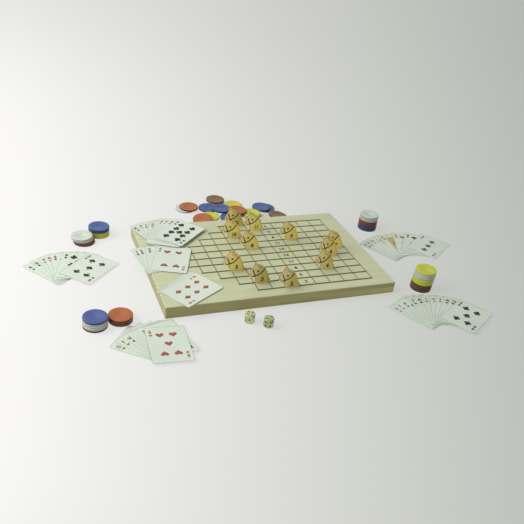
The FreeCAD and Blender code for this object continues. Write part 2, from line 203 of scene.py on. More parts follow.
class Bench:
    """Builds one material's nodes around a Principled shader."""

    def __init__(self, name: str) -> None:
        """Makes the material and finds its shader.

        Args:
            name: the material's name.
        """
        self.material = bpy.data.materials.new(name)
        self.material.use_nodes = True
        self.tree = self.material.node_tree
        self.shader = self.tree.nodes["Principled BSDF"]
        self._coords: Optional[bpy.types.Node] = None

    def put(self, socket: bpy.types.NodeSocket, value: object) -> None:
        """Links a value to a socket, or sets the socket itself.

        Args:
            socket: the input that is fed.
            value: a value, socket, number or colour; None leaves the input as it is.
        """
        value = value.socket if isinstance(value, Value) else value
        if isinstance(value, bpy.types.NodeSocket):
            self.tree.links.new(value, socket)
        elif value is not None:
            socket.default_value = value

    def node(self, kind: str, settings: Optional[dict] = None,
             inputs: Optional[dict] = None) -> bpy.types.Node:
        """Adds any node.

        Args:
            kind: the node's type.
            settings: its properties, set first; a ramp's stops are given as "stops".
            inputs: value or link of each socket, by name or number.

        Returns:
            The node.
        """
        made = self.tree.nodes.new(kind)
        for key, value in (settings or {}).items():
            if key == "stops":
                while len(made.color_ramp.elements) < len(value):
                    made.color_ramp.elements.new(0.5)
                for element, (place, colour) in zip(made.color_ramp.elements, value):
                    element.position, element.color = place, colour
            else:
                setattr(made, key, value)
        for key, value in (inputs or {}).items():
            self.put(made.inputs[key], value)
        return made

    def coordinates(self, output: str) -> bpy.types.NodeSocket:
        """One output of the material's single Texture Coordinate node.

        Args:
            output: the output's name.

        Returns:
            Its socket.
        """
        if self._coords is None:
            self._coords = self.node("ShaderNodeTexCoord")
        return self._coords.outputs[output]

    def place(self) -> bpy.types.NodeSocket:
        """Object coordinates, in metres in the row's frame."""
        return self.coordinates("Object")

    def facing(self) -> tuple[Value, Value, Value]:
        """The parts of the surface's direction in the row's frame."""
        return self.axes(self.coordinates("Normal"))

    def mapped(self, move: Triple = (0, 0, 0), scale: Triple = (1, 1, 1)) -> bpy.types.NodeSocket:
        """Object coordinates, scaled and then moved.

        Args:
            move: added to each part.
            scale: factor on each part; a small one draws a pattern out along that axis.

        Returns:
            The new coordinates.
        """
        inputs = {"Vector": self.place(), "Location": move, "Scale": scale}
        return self.node("ShaderNodeMapping", {"vector_type": "POINT"}, inputs).outputs["Vector"]

    def axes(self, vector: bpy.types.NodeSocket) -> tuple[Value, Value, Value]:
        """The three parts of a vector."""
        x, y, z = self.node("ShaderNodeSeparateXYZ", None, {0: vector}).outputs
        return Value(self, x), Value(self, y), Value(self, z)

    def less(self, vector: bpy.types.NodeSocket, point: Triple) -> bpy.types.NodeSocket:
        """A vector counted from a point."""
        made = self.node("ShaderNodeVectorMath", {"operation": "SUBTRACT"}, {0: vector, 1: point})
        return made.outputs["Vector"]

    def along(self, vector: bpy.types.NodeSocket, direction: Triple) -> Value:
        """How far a vector reaches in a direction."""
        made = self.node("ShaderNodeVectorMath", {"operation": "DOT_PRODUCT"}, {0: vector, 1: direction})
        return Value(self, made.outputs["Value"])

    def noise(self, vector: bpy.types.NodeSocket, scale: float, detail: float = 3.0,
              rough: float = 0.5, warp: float = 0.0) -> Value:
        """Cloudy noise from 0 to 1.

        Args:
            vector: the coordinates that it is spread over.
            scale: clouds per unit of the coordinates.
            detail: how many finer layers are added.
            rough: how strong the finer layers are.
            warp: how far the pattern is bent by itself.

        Returns:
            The noise.
        """
        inputs = {"Vector": vector, "Scale": scale, "Detail": detail, "Roughness": rough,
                  "Distortion": warp}
        made = self.node("ShaderNodeTexNoise", {"noise_dimensions": "3D"}, inputs)
        return Value(self, made.outputs["Fac"])

    def mix(self, share: object, first: object, second: object) -> bpy.types.NodeSocket:
        """A colour between two colours.

        A Mix node's sockets 6 and 7 are its two colours, and its output 2 is the mixed one.

        Args:
            share: 0 gives the first colour, 1 the second.
            first: a colour or its socket.
            second: a colour or its socket.

        Returns:
            The mixed colour.
        """
        settings = {"data_type": "RGBA", "blend_type": "MIX", "clamp_factor": True}
        return self.node("ShaderNodeMix", settings, {0: share, 6: first, 7: second}).outputs[2]

    def bump(self, height: Value, depth: float, strength: float) -> None:
        """Lets a height push the surface out.

        Args:
            height: from 0 to 1.
            depth: how far a height of 1 reaches, in metres.
            strength: the effect's share, from 0 to 1.
        """
        inputs = {"Height": height, "Distance": depth, "Strength": strength}
        self.put(self.shader.inputs["Normal"], self.node("ShaderNodeBump", None, inputs).outputs["Normal"])

    def finish(self, colour: object, roughness: object, **fixed: object) -> bpy.types.Material:
        """Sets the shader's main sockets and any fixed ones.

        Args:
            colour: the base colour.
            roughness: the roughness.
            fixed: further sockets by name, in small letters with underscores for spaces.

        Returns:
            The material.
        """
        self.put(self.shader.inputs["Base Color"], colour)
        self.put(self.shader.inputs["Roughness"], roughness)
        for name, value in fixed.items():
            self.put(self.shader.inputs[name.replace("_", " ").title().replace("Ior", "IOR")], value)
        return self.material


# --------------------------------------------------------------------------- finishes


@dataclass(frozen=True)
class BoardTop:
    """Pale veneer under clear lacquer, with painted shade on its sides and in its slots.

    surface is the height of the top face. The slots are what lies deeper than slot_from
    below it and further in than rim from the board's edges.
    """

    name: str
    surface: float
    half_length: float
    half_width: float
    pale: Triple = (197, 201, 166)
    grain: Triple = (180, 183, 142)
    cloud: Triple = (206, 204, 168)
    # Colour of the panel's sides, darker than the top as painted shade.
    side: Triple = (160, 154, 98)
    # Colour of the slot walls, darker than the top as painted shade.
    slot: Triple = (180, 177, 128)
    cloud_share: float = 0.30
    side_shade: float = 0.84
    slot_shade: float = 0.7
    rim: float = 8.0 * MM
    slot_from: float = 0.15 * MM
    band_stretch: Triple = (1.0, 26.0, 26.0)
    fibre_stretch: Triple = (6.0, 420.0, 420.0)
    relief: float = 0.06 * MM

    def material(self) -> bpy.types.Material:
        """Long grain along X, fine pores, and painted shade on the sides and slot walls.

        Returns:
            The material.
        """
        b = Bench(self.name)
        x, y, z = b.axes(b.place())
        bands = b.noise(b.mapped(scale=self.band_stretch), 3.2, detail=4.0, rough=0.55, warp=0.6)
        fibres = b.noise(b.mapped(scale=self.fibre_stretch), 1.6, detail=4.0, rough=0.6)
        clouds = b.noise(b.place(), 7.0, detail=2.0)
        grain = (bands * 0.55 + fibres * 0.45).ramp(0.34, 0.68)
        wood = b.mix(grain, linear(self.pale), linear(self.grain))
        wood = b.mix(clouds.ramp(0.35, 0.75) * self.cloud_share, wood, linear(self.cloud))
        side = b.mix(fibres.ramp(0.3, 0.7), linear(self.side), linear(self.side, self.side_shade))
        _, _, up = b.facing()
        edge = (1.0 - up.absolute()).ramp(0.12, 0.75)
        inside_x = x.absolute().below(self.half_length - self.rim)
        inside = inside_x * y.absolute().below(self.half_width - self.rim)
        deep = z.below(self.surface - self.slot_from) * inside
        # Painted shade: the panel's upright sides near its edges take the darker side colour.
        colour = b.mix(edge * (1.0 - inside), wood, side)
        # Painted shade in the slots: their walls take a darker colour.
        painted_slot_shade = b.mix(fibres, linear(self.slot), linear(self.slot, self.slot_shade))
        colour = b.mix(deep, colour, painted_slot_shade)
        b.bump(fibres * 0.7 + bands * 0.3, self.relief, 0.6)
        roughness = fibres * 0.14 + 0.36 + deep * 0.3
        return b.finish(colour, roughness, coat_weight=0.25, coat_roughness=0.28)


@dataclass(frozen=True)
class SideWood:
    """Solid rails and hidden inner wood, lacquered or bare.

    The grain runs along X, or along Y where across is set. From pale_from to pale_to, along X,
    the wood turns paler.
    """

    name: str
    colour: Triple
    dark: Triple
    across: bool = False
    lacquer: float = 0.25
    pale_from: float = 0.04
    pale_to: float = 0.21
    pale_share: float = 0.45
    pale_strength: float = 1.22
    relief: float = 0.07 * MM

    def stretch(self, lengthwise: float, crosswise: float) -> Triple:
        """Scale of a pattern that is drawn out along the rail.

        Args:
            lengthwise: scale along the rail.
            crosswise: scale across it.

        Returns:
            The scale along X, Y and Z.
        """
        if self.across:
            return (crosswise, lengthwise, crosswise)
        return (lengthwise, crosswise, crosswise)

    def material(self) -> bpy.types.Material:
        """Long grain along the rail with soft growth bands, turning paler to the right.

        Returns:
            The material.
        """
        b = Bench(self.name)
        x, _, _ = b.axes(b.place())
        bands = b.noise(b.mapped(scale=self.stretch(1.4, 30.0)), 3.0, detail=4.0, rough=0.55, warp=0.8)
        fibres = b.noise(b.mapped(scale=self.stretch(7.0, 480.0)), 1.5, detail=4.0, rough=0.6)
        grain = (bands * 0.6 + fibres * 0.4).ramp(0.32, 0.70)
        colour = b.mix(grain, linear(self.colour), linear(self.dark))
        paler_to_right = x.ramp(self.pale_from, self.pale_to) * self.pale_share
        colour = b.mix(paler_to_right, colour, linear(self.colour, self.pale_strength))
        b.bump(fibres, self.relief, 0.7)
        return b.finish(colour, fibres * 0.15 + 0.40, coat_weight=self.lacquer, coat_roughness=0.3)


@dataclass(frozen=True)
class CutoutWood:
    """Thin sanded ply of a horse, with its sawn edge scorched brown.

    centre is the middle of the horse's base, at the board's surface, and seed moves the
    grain. The muzzle's colour comes in ahead of the centre. The mane's and the back's come in
    behind it, sooner where the horse is higher, by the rise.
    """

    name: str
    centre: Triple
    seed: float
    tint: float = 1.0
    face: Triple = (243, 223, 131)
    late: Triple = (219, 193, 95)
    muzzle: Triple = (240, 226, 176)
    muzzle_reach: Pair = (4.0 * MM, 20.0 * MM)
    muzzle_share: float = 0.55
    mane: Triple = (214, 178, 86)
    mane_reach: Pair = (8.0 * MM, 26.0 * MM)
    mane_rise: float = 0.45
    mane_share: float = 0.38
    back: Triple = (160, 132, 66)
    back_reach: Pair = (8.5 * MM, 13.5 * MM)
    back_rise: float = 0.4
    back_share: float = 0.22
    edge: Triple = (168, 138, 76)
    edge_shade: float = 0.72
    relief: float = 0.06 * MM

    def material(self) -> bpy.types.Material:
        """Upright grain, a paler muzzle, a warmer back and dark cut edges.

        Returns:
            The material.
        """
        b = Bench(self.name)
        x, _, z = b.axes(b.mapped(move=tuple(-part for part in self.centre)))
        broad = b.mapped(move=(self.seed, self.seed * 1.7, 0.0), scale=(60.0, 60.0, 7.0))
        fine = b.mapped(move=(self.seed, 0, 0), scale=(900.0, 900.0, 40.0))
        bands = b.noise(broad, 2.2, warp=1.2)
        fibres = b.noise(fine, 1.3, rough=0.6)
        grain = (bands * 0.65 + fibres * 0.35).ramp(0.33, 0.68)
        wood = b.mix(grain, linear(self.face, self.tint), linear(self.late, self.tint))
        ahead = (0.0 - x).ramp(*self.muzzle_reach)
        wood = b.mix(ahead * self.muzzle_share, wood, linear(self.muzzle))
        behind = (x + z * self.mane_rise).ramp(*self.mane_reach)
        wood = b.mix(behind * self.mane_share, wood, linear(self.mane, self.tint))
        rear = (x + z * self.back_rise).ramp(*self.back_reach)
        wood = b.mix(rear * self.back_share, wood, linear(self.back, self.tint))
        _, front, _ = b.facing()
        rim = (1.0 - front.absolute()).ramp(0.10, 0.55)
        ply = b.noise(b.mapped(scale=(30.0, 2600.0, 30.0)), 1.0, detail=1.0)
        scorched = b.mix(ply.ramp(0.4, 0.6), linear(self.edge), linear(self.edge, self.edge_shade))
        colour = b.mix(rim, wood, scorched)
        b.bump(fibres * 0.6 + bands * 0.4, self.relief, 0.7)
        return b.finish(colour, fibres * 0.16 + 0.50)


@dataclass(frozen=True)
class MouldedChip:
    """Injection moulded chip plastic with a fine satin skin.

    The edge takes the dark colour scaled by a factor: painted shade in the reeds and between chips.
    """

    name: str
    colour: Triple
    dark: Triple
    grime: float
    relief: float = 0.012 * MM
    scatter: Triple = (0.004, 0.003, 0.002)

    def material(self) -> bpy.types.Material:
        """Even colour with faint flow marks, and painted shade on the reeded edge.

        Returns:
            The material.
        """
        b = Bench(self.name)
        flow = b.noise(b.place(), 55.0, rough=0.55, warp=0.8)
        skin = b.noise(b.place(), 2600.0, detail=2.0)
        _, _, up = b.facing()
        edge = (1.0 - up.absolute()).ramp(0.45, 0.95)
        face = b.mix(flow.ramp(0.35, 0.70) * 0.6, linear(self.colour), linear(self.dark))
        # Painted shade: the upright reeded edge is darker.
        colour = b.mix(edge, face, linear(self.dark, self.grime))
        b.bump(skin, self.relief, 0.5)
        return b.finish(colour, flow * 0.14 + 0.26, specular_ior_level=0.3,
                        subsurface_weight=0.06, subsurface_radius=self.scatter)


@dataclass(frozen=True)
class DiePlastic:
    """Cream die with black paint in its drilled pips.

    The die's middle is centre, it is turned by turn about the vertical, and half is half its
    width. A pip's floor is deeper than skin below a face and nearer than pip_reach to the
    face's middle.
    """

    name: str
    centre: Triple
    turn: float
    half: float
    pip_reach: float
    tint: float
    cream: Triple = (184, 190, 128)
    pip: Triple = (26, 26, 20)
    haze_shade: float = 0.93
    rim_shade: float = 0.72
    skin: float = 0.05 * MM
    relief: float = 0.02 * MM
    scatter: Triple = (0.003, 0.003, 0.002)

    def material(self) -> bpy.types.Material:
        """The rounded rim is darker, as painted shade. The pips are points sunk below a face, clear of the
        rim.

        Of the distances along the die's three axes, the largest tells how deep a point lies
        below its face, and the middle one how far it is from the face's middle.

        Returns:
            The material.
        """
        b = Bench(self.name)
        inputs = {"Vector": b.less(b.place(), self.centre), "Angle": -self.turn}
        turned = b.node("ShaderNodeVectorRotate", {"rotation_type": "Z_AXIS"}, inputs)
        x, y, z = (part.absolute() for part in b.axes(turned.outputs[0]))
        largest = x.larger(y).larger(z)
        middle = x.smaller(y).larger(y.smaller(z)).larger(x.smaller(z))
        below_face = largest.below(self.half - self.skin)
        sunk = below_face * middle.below(self.pip_reach)
        haze = b.noise(b.place(), 90.0)
        cream, hazy, painted_rim_shade = (linear(self.cream, shade * self.tint)
                             for shade in (1.0, self.haze_shade, self.rim_shade))
        body = b.mix(haze.ramp(0.3, 0.7), cream, hazy)
        # Painted shade: off the flat faces, on the rounded rim, the cream is darker.
        body = b.mix(below_face * (haze * 0.4 + 0.6), body, painted_rim_shade)
        colour = b.mix(sunk, body, linear(self.pip))
        b.bump(haze, self.relief, 0.3)
        return b.finish(colour, haze * 0.10 + 0.16, coat_weight=0.4, coat_roughness=0.08,
                        subsurface_weight=0.10, subsurface_radius=self.scatter)


@dataclass(frozen=True)
class CardStock:
    """Coated playing card with a faint linen finish, whose threads lie one thread apart."""

    name: str
    paper: Triple = (212, 220, 204)
    cool: Triple = (200, 211, 196)
    thread: float = 0.55 * MM
    relief: float = 0.012 * MM

    def material(self) -> bpy.types.Material:
        """Slightly cool white, with the woven emboss as fine bump.

        Returns:
            The material.
        """
        b = Bench(self.name)
        x, y, _ = b.axes(b.place())
        cloud = b.noise(b.place(), 11.0, detail=2.0)
        pulp = b.noise(b.place(), 700.0, detail=2.0)
        wave = 2 * math.pi / self.thread
        weave = (x * wave).sine() * (y * wave).sine()
        colour = b.mix(cloud.ramp(0.3, 0.7), linear(self.paper), linear(self.cool))
        b.bump(weave * 0.5 + pulp * 0.4, self.relief, 0.5)
        return b.finish(colour, pulp * 0.08 + 0.34, coat_weight=0.15, coat_roughness=0.3)


@dataclass(frozen=True)
class PrintedInk:
    """Thin ink film; slightly uneven, as printed or burnt marks are."""

    ink: Ink
    worn: float = 1.25
    worn_share: float = 0.5
    roughness: float = 0.42

    def material(self) -> bpy.types.Material:
        """Ink colour with a little mottle.

        Returns:
            The material.
        """
        b = Bench("ink_" + self.ink.name.lower())
        mottle = b.noise(b.place(), 900.0)
        full, thin = linear(self.ink.value), linear(self.ink.value, self.worn)
        colour = b.mix(mottle.ramp(0.35, 0.75) * self.worn_share, full, thin)
        return b.finish(colour, mottle * 0.2 + self.roughness)


@dataclass(frozen=True)
class ZincSteel:
    """Zinc plated screw heads."""

    name: str = "zinc_steel"
    bright: Triple = (196, 196, 188)
    clouded: Triple = (168, 166, 150)
    relief: float = 0.01 * MM

    def material(self) -> bpy.types.Material:
        """Bright metal with a cloudy passivated film.

        Returns:
            The material.
        """
        b = Bench(self.name)
        film = b.noise(b.place(), 400.0, detail=4.0)
        colour = b.mix(film, linear(self.bright), linear(self.clouded))
        b.bump(film, self.relief, 0.5)
        return b.finish(colour, film * 0.2 + 0.25, metallic=1.0)


@dataclass(frozen=True)
class TableTop:
    """Plain studio surface that fans out from white on the left to grey on the right: painted light.

    The fan spreads from eye, a point above the table. stops are (metres to the right per
    metre ahead of that point, colour) from left to right; nearest is where the spreading
    starts, and behind it the surface turns plain over fade metres. seen_share is how much of
    the colour is an even glow.
    """

    eye: Triple
    ahead: Triple
    right: Triple
    name: str = "studio_table"
    nearest: float = 0.8
    fade: float = 1.4
    plain: Triple = (222, 223, 220)
    stops: tuple[tuple[float, Triple], ...] = (
        (-0.36, (244, 243, 242)), (-0.09, (227, 227, 224)), (0.19, (208, 210, 204)),
        (0.40, (193, 196, 190)))
    seen_share: float = 0.78

    def material(self) -> bpy.types.Material:
        """Matt surface, with an even glow that only the camera and reflections see.

        Returns:
            The material.
        """
        b = Bench(self.name)
        offset = b.less(b.place(), self.eye)
        ahead = b.along(offset, self.ahead)
        across = b.along(offset, self.right) / ahead.larger(self.nearest)
        left, right = self.stops[0][0], self.stops[-1][0]
        stops = [((place - left) / (right - left), linear(colour)) for place, colour in self.stops]
        # Painted light: the fan grows darker to the right, as the light falls off.
        fan_out = b.node("ShaderNodeValToRGB", {"stops": stops}, {"Fac": across.ramp(left, right)})
        spread = ahead.ramp(self.nearest - self.fade, self.nearest)
        shade = b.mix(spread, linear(self.plain), fan_out.outputs["Color"])
        b.finish(shade, 0.9, specular_ior_level=0.1)
        path = b.node("ShaderNodeLightPath")
        seen = Value(b, path.outputs["Is Camera Ray"]).larger(Value(b, path.outputs["Is Glossy Ray"]))
        seen = seen.larger(Value(b, path.outputs["Is Transmission Ray"]))
        glow = b.node("ShaderNodeEmission", None, {"Color": shade, "Strength": 1.0})
        parts = {0: seen * self.seen_share, 1: b.shader.outputs[0], 2: glow.outputs[0]}
        both = b.node("ShaderNodeMixShader", None, parts)
        b.put(b.tree.nodes["Material Output"].inputs["Surface"], both.outputs[0])
        return b.material


# --------------------------------------------------------------------------- meshes


def link(data: bpy.types.ID, name: str) -> bpy.types.Object:
    """Puts a mesh, curve, lamp or camera into the scene.

    Args:
        data: what the object shows.
        name: the object's name.

    Returns:
        The object.
    """
    piece = bpy.data.objects.new(name, data)
    bpy.context.scene.collection.objects.link(piece)
    return piece


def dress(node: str, material: bpy.types.Material) -> None:
    """Gives a CAD node its material.

    Args:
        node: the node's name.
        material: what replaces the materials that it has.
    """
    part = frame["nodes"][node]
    part.data.materials.clear()
    part.data.materials.append(material)
    log.info("%s: %s", node, material.name)


def points_of(mesh: bpy.types.Mesh) -> np.ndarray:
    """The points of a mesh.

    Args:
        mesh: the mesh.

    Returns:
        One point in each row.
    """
    places = np.zeros(len(mesh.vertices) * 3)
    mesh.vertices.foreach_get("co", places)
    return places.reshape(-1, 3)


@dataclass(frozen=True)
class Plane:
    """A flat surface to print on: its origin and its right, up and outward directions."""

    origin: np.ndarray
    right: np.ndarray
    up: np.ndarray

    def lay(self, flat: np.ndarray, lift: float) -> np.ndarray:
        """Puts points onto the plane: u to the right, v up, and the lift outwards.

        Args:
            flat: points as (u, v) in rows.
            lift: how far they stand off the plane.

        Returns:
            The points in space.
        """
        out = np.cross(self.right, self.up)
        return self.origin + flat[:, :1] * self.right + flat[:, 1:2] * self.up + out * lift


@dataclass
class Sheet:
    """Flat faces gathered for one printed piece: points, faces and each face's ink."""

    points: list[np.ndarray] = field(default_factory=list)
    faces: Faces = field(default_factory=list)
    inks: list[Ink] = field(default_factory=list)
    count: int = 0

    def put(self, plane: Plane, patch: Patch, lift: float, ink: Ink) -> None:
        """Adds a patch in one ink.

        Args:
            plane: the surface that it is printed on.
            patch: its points on the plane and its faces.
            lift: how far it stands off the plane.
            ink: its ink.
        """
        points, faces = patch
        self.points.append(plane.lay(points, lift))
        self.faces += [tuple(corner + self.count for corner in face) for face in faces]
        self.inks += [ink] * len(faces)
        self.count += len(points)

    def build(self, name: str, materials: Inks, body: str, slot: str) -> bpy.types.Object:
        """Makes the mesh object, gives it its inks and lets it ride on its body.

        Args:
            name: the piece's name.
            materials: the material of each ink.
            body: the body that it moves with.
            slot: the record's slot that it belongs to; not used.

        Returns:
            The object.
        """
        mesh = bpy.data.meshes.new(name)
        mesh.from_pydata(np.concatenate(self.points).tolist(), [], self.faces)
        used = sorted(set(self.inks), key=lambda ink: ink.name)
        for ink in used:
            mesh.materials.append(materials[ink])
        numbers = np.array([used.index(ink) for ink in self.inks], np.int32)
        mesh.polygons.foreach_set("material_index", numbers)
        mesh.update()
        piece = link(mesh, name)
        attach(piece, body)
        log.info("%s: %d faces on %s", name, len(self.faces), body)
        return piece


@dataclass
class Glyphs:
    """Outlines of plain numbers and card letters, as flat faces one unit high.

    weight is how much bolder than its font a letter is, and each curve has curve_steps parts.
    """

    weight: float = 0.045
    curve_steps: int = 4
    store: dict[str, Patch] = field(default_factory=dict)

    def get(self, text: str) -> Patch:
        """A number's or letter's faces, made once and kept.

        Args:
            text: what is written.

        Returns:
            Points centred on the origin and scaled to height 1, and the faces.
        """
        if text not in self.store:
            curve = bpy.data.curves.new("glyph", "FONT")
            curve.body = text
            curve.resolution_u = self.curve_steps
            curve.offset = self.weight
            shape = link(curve, "glyph")
            bpy.context.view_layer.update()
            graph = bpy.context.evaluated_depsgraph_get()
            mesh = bpy.data.meshes.new_from_object(shape.evaluated_get(graph))
            flat = points_of(mesh)[:, :2]
            faces = [tuple(polygon.vertices) for polygon in mesh.polygons]
            low, high = flat.min(0), flat.max(0)
            flat = (flat - (low + high) / 2) / (high[1] - low[1])
            bpy.data.objects.remove(shape)
            bpy.data.curves.remove(curve)
            bpy.data.meshes.remove(mesh)
            self.store[text] = (flat, faces)
        return self.store[text]

    def put(self, sheet: Sheet, plane: Plane, text: str, at: Pair, height: float, ink: Ink,
            film: float, turned: bool = False, squeeze: float = 1.0) -> None:
        """Prints a number or letter.

        Args:
            sheet: the piece that it is added to.
            plane: the surface that it is printed on.
            text: what is written.
            at: the place of its middle on the plane.
            height: its height in metres.
            ink: its ink.
            film: how far it stands off the plane.
            turned: whether it is upside down.
            squeeze: factor on its width.
        """
        flat, faces = self.get(text)
        sign = -1.0 if turned else 1.0
        placed = flat * height * sign * np.array([squeeze, 1.0]) + np.array(at)
        sheet.put(plane, (placed, faces), film, ink)


def fan(outline: np.ndarray) -> Patch:
    """A star-shaped outline filled with triangles that meet at the origin.

    Args:
        outline: points (u, v) in rows, counterclockwise about the origin.

    Returns:
        The points, with the origin first, and the triangles.
    """
    count = len(outline)
    points = np.vstack([[0.0, 0.0], outline])
    return points, [(0, i + 1, (i + 1) % count + 1) for i in range(count)]


def ribbon(line: np.ndarray, width: float) -> Patch:
    """A band of constant width along a line.

    Each point steps half a width to both sides, at right angles to the line's direction
    there.

    Args:
        line: points (u, v) in rows.
        width: the band's width.

    Returns:
        The points of both edges and the quads between them.
    """
    along = np.gradient(line, axis=0)
    along /= np.linalg.norm(along, axis=1)[:, None]
    side = np.stack([-along[:, 1], along[:, 0]], 1) * width / 2
    count = len(line)
    quads = [(i, count + i, count + i + 1, i + 1) for i in range(count - 1)]
    return np.vstack([line + side, line - side]), quads


def circle(steps: int) -> np.ndarray:
    """Points (cos a, sin a) at even steps of the angle a round the origin."""
    angle = np.linspace(0, 2 * math.pi, steps, endpoint=False)
    return np.stack([np.cos(angle), np.sin(angle)], 1)


def disc(centre: Pair, radius: float, steps: int = 24) -> Patch:
    """A round dot.

    Args:
        centre: its middle.
        radius: its radius.
        steps: how many sides it has.

    Returns:
        Its points and triangles.
    """
    points, faces = fan(circle(steps) * radius)
    return points + np.array(centre), faces


def smooth(points: tuple[Pair, ...], steps: int = 8) -> np.ndarray:
    """A Catmull-Rom curve: a cubic through each pair of points whose slopes there follow the
    neighbouring points.

    Args:
        points: the points that it passes through.
        steps: how many points it has for each pair.

    Returns:
        The curve's points in rows.
    """
    p = np.array(points, float)
    p = np.vstack([2 * p[0] - p[1], p, 2 * p[-1] - p[-2]])
    t = np.linspace(0, 1, steps, endpoint=False)[:, None]
    parts = []
    for a, b, c, d in zip(p, p[1:], p[2:], p[3:]):
        parts.append(0.5 * (2 * b + (c - a) * t + (2 * a - 5 * b + 4 * c - d) * t ** 2
                            + (3 * b - a - 3 * c + d) * t ** 3))
    return np.vstack(parts + [p[-2:-1]])


def solids_of(node: str, digits: int = 7) -> list[np.ndarray]:
    """The corner points of each separate solid in a CAD node.

    Points are merged where they coincide, and every triangle gives its corners the
    lowest label among them until nothing changes.

    Args:
        node: the node's name.
        digits: decimals of a metre to which points that are merged agree.

    Returns:
        The points of one solid after the other, in rows.
    """
    mesh = frame["nodes"][node].data
    points, where = np.unique(np.round(points_of(mesh), digits), axis=0, return_inverse=True)
    mesh.calc_loop_triangles()
    corners = np.zeros(len(mesh.loop_triangles) * 3, np.int32)
    mesh.loop_triangles.foreach_get("vertices", corners)
    triangles = where.reshape(-1)[corners].reshape(-1, 3)
    label = np.arange(len(points))
    while True:
        lowest = label[triangles].min(1)
        new = label.copy()
        np.minimum.at(new, triangles.reshape(-1), np.repeat(lowest, 3))
        if (new == label).all():
            break
        label = new
    return [points[label == value] for value in np.unique(label)]


def principal(points: np.ndarray) -> tuple[np.ndarray, np.ndarray]:
    """The directions that a solid reaches furthest and least in.

    Args:
        points: its points in rows.

    Returns:
        Its centre, and its axes in rows from the longest to the shortest.
    """
    centre = points.mean(0)
    _, _, axes = np.linalg.svd(points - centre, full_matrices=False)
    return centre, axes


def upright(axis: np.ndarray) -> np.ndarray:
    """An axis, turned over where it points down."""
    return axis if axis[2] > 0 else -axis


# --------------------------------------------------------------------------- board


@dataclass
class Board:
    """The board: lacquered top with painted shade in its slots, printed lines and plain numbers.

    Each lane has home spaces at the right, then the column of numbers, then its run spaces
    to the left. The space lines stay line_gap clear of the lanes' centres, and a line within
    slack of a lane's end is printed.
    """

    lane_pitch: float = 22.87 * MM
    middle_lane: float = -2.6 * MM
    lane_right: float = 174.0 * MM
    home_space: float = 27.8 * MM
    home_spaces: int = 4
    number_column: float = 30.0 * MM
    run_space: float = 26.1 * MM
    run_spaces: tuple[int, ...] = (3, 4, 5, 6, 7, 7, 7, 6, 5, 4, 3)
    line_width: float = 2.3 * MM
    line_gap: float = 2.0 * MM
    slack: float = 1.0 * MM
    number_height: float = 8.2 * MM
    numbers: tuple[int, ...] = (3, 6, 8, 11, 14, 14, 11, 8, 6, 3)
    film: float = FILM
    # The rails' wood is darker than the top's: painted shade on the board's sides.
    long_rail: SideWood = SideWood("board_side_long", (164, 158, 100), (124, 118, 68))
    short_rail: SideWood = SideWood("board_side_short", (158, 152, 96), (132, 126, 74), across=True)
    inner: SideWood = SideWood("board_inner", (186, 164, 118), (160, 138, 94), lacquer=0.0)
    screws: ZincSteel = ZincSteel()

    @staticmethod
    def surface() -> float:
        """Height of the board's top face."""
        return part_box("top_panel")[1].z

    @property
    def column_right(self) -> float:
        """X of the right side of the column of numbers."""
        return self.lane_right - self.home_spaces * self.home_space

    def lane_y(self, lane: int) -> float:
        """Y of a lane's centre, counted from the front."""
        return self.middle_lane + (lane - (len(self.run_spaces) - 1) / 2) * self.lane_pitch

    def left_of(self, lane: int) -> float:
        """X of the left end of a lane."""
        return self.column_right - self.number_column - self.run_spaces[lane] * self.run_space

    def column_xs(self) -> list[float]:
        """X of every printed line, from the right end leftwards.

        Returns:
            The lines of the home spaces, then those of the run spaces.
        """
        homes = [self.lane_right - i * self.home_space for i in range(self.home_spaces + 1)]
        start = self.column_right - self.number_column
        return homes + [start - i * self.run_space for i in range(max(self.run_spaces) + 1)]

    def dress(self) -> None:
        """Gives each part of the board its wood."""
        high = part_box("top_panel")[1]
        dress("top_panel", BoardTop("board_top", high.z, high.x, high.y).material())
        for finish, nodes in ((self.long_rail, ("front_rail", "back_rail")),
                              (self.short_rail, ("left_rail", "right_rail")),
                              (self.inner, ("cross_ribs", "bottom_panel")),
                              (self.screws, ("bottom_screws",))):
            material = finish.material()
            for node in nodes:
                dress(node, material)

    def print_top(self, glyphs: Glyphs, inks: Inks) -> None:
        """Prints the space lines between neighbouring lanes and the column of numbers.

        Args:
            glyphs: the outlines of the numbers.
            inks: the material of each ink.
        """
        top = np.array([0.0, 0.0, self.surface()])
        plane = Plane(top, np.array([1.0, 0, 0]), np.array([0, 1.0, 0]))
        sheet = Sheet()
        middle = self.column_right - self.number_column / 2
        for lane, number in enumerate(self.numbers):
            low, high = self.lane_y(lane) + self.line_gap, self.lane_y(lane + 1) - self.line_gap
            left = max(self.left_of(lane), self.left_of(lane + 1))
            for x in self.column_xs():
                if x >= left - self.slack:
                    line = ribbon(np.array([[x, low], [x, high]]), self.line_width)
                    sheet.put(plane, line, self.film, Ink.LINE)
            glyphs.put(sheet, plane, str(number), (middle, (low + high) / 2),
                       self.number_height, Ink.BLACK, self.film)
        sheet.build("board_print", inks, "board", "board_top")


# --------------------------------------------------------------------------- horses


